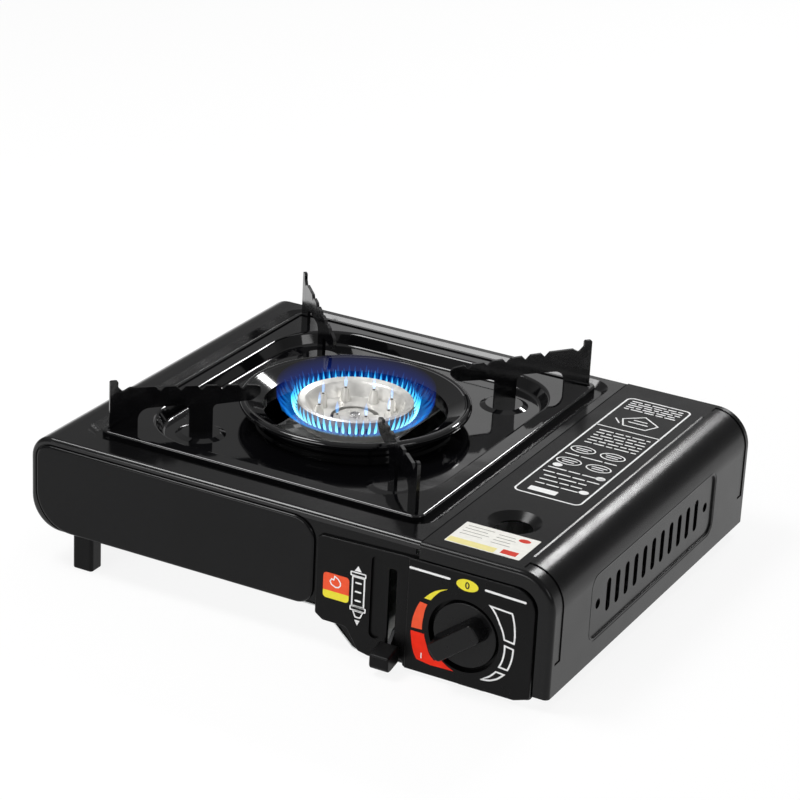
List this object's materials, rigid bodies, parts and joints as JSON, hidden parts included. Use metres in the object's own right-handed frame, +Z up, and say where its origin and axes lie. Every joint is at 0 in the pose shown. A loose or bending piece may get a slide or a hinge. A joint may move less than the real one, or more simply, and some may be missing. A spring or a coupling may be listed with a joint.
{
  "type": "butane cassette stove",
  "caption": "Tabletop gas stove with a burner in a square drip plate, toothed pan supports, a hinged cartridge lid, a control knob and a cartridge lock lever.",
  "frame": {"origin": "on the surface it stands on, under the middle of the whole stove", "axes": "+X to the right along the front, +Y to the back, +Z up"},
  "size_m": [0.34, 0.29, 0.111],
  "materials": {
    "black_paint": "satin",
    "black_enamel": "gloss",
    "black_plastic": "satin",
    "white_plastic": "matte",
    "galvanized": "satin",
    "steel": "bright",
    "zinc": "matte",
    "aluminium": "satin",
    "brass": "bright",
    "ceramic": "gloss",
    "rubber": "matte"
  },
  "bodies": {
    "case": {"top_shell": "black_paint", "front_panel": "black_paint", "rear_panel": "black_paint", "bottom_tray": "galvanized", "bay_wall": "galvanized", "case_screws": "steel", "front_left_foot": "rubber", "rear_left_foot": "rubber", "bay_pads": "rubber", "fascia": "black_plastic", "hinge_brackets": "galvanized", "lever_pivot": "steel", "strip_guides": "steel", "regulator_bulkhead": "galvanized", "cartridge_socket": "zinc", "socket_seal": "rubber", "regulator_body": "zinc", "diaphragm_cover": "zinc", "valve_body": "zinc", "piezo_igniter": "black_plastic", "burner_bridge": "galvanized", "burner_cup": "aluminium", "burner_head": "aluminium", "hub_screw": "steel", "mixing_tube": "aluminium", "air_shutter": "steel", "jet_holder": "brass", "gas_pipe": "steel", "electrode": "ceramic", "electrode_tip": "steel"},
    "lid": {"lid_cover": "black_paint", "lid_lugs": "galvanized"},
    "knob": {"knob": "black_plastic", "knob_shaft": "steel", "igniter_cam": "white_plastic"},
    "lever": {"lever_arm": "steel", "lever_grip": "black_plastic", "drive_pin": "steel"},
    "pusher": {"pusher_strip": "steel", "pusher_plate": "steel"},
    "pan_set": {"drip_plate": "black_enamel", "pan_ring": "black_enamel", "pan_support_1": "black_enamel", "pan_support_2": "black_enamel", "pan_support_3": "black_enamel", "pan_support_4": "black_enamel"}
  },
  "joints": [
    {"name": "lid_hinge", "type": "hinge", "parent": "case", "child": "lid", "pos_m": [0.1655, 0.0075, 0.011], "axis": [0, 1, 0], "range_deg": [0, 90]},
    {"name": "knob_turn", "type": "hinge", "parent": "case", "child": "knob", "pos_m": [0.1177, -0.131, 0.0323], "axis": [0, -1, 0], "range_deg": [-128, 0]},
    {"name": "lever_turn", "type": "hinge", "parent": "case", "child": "lever", "pos_m": [0.0736, -0.055, 0.036], "axis": [-1, 0, 0], "range_deg": [0, 26]},
    {"name": "pusher_slide", "type": "slide", "parent": "case", "child": "pusher", "axis": [0, 1, 0], "range_m": [0, 0.0079]},
    {"name": "pan_lift", "type": "slide", "parent": "case", "child": "pan_set", "axis": [0, 0, 1], "range_m": [0, 0.06]}
  ],
  "couplings": [
    {"joint": "pusher_slide", "follows": "lever_turn", "m_per_rad": 0.0172}
  ]
}
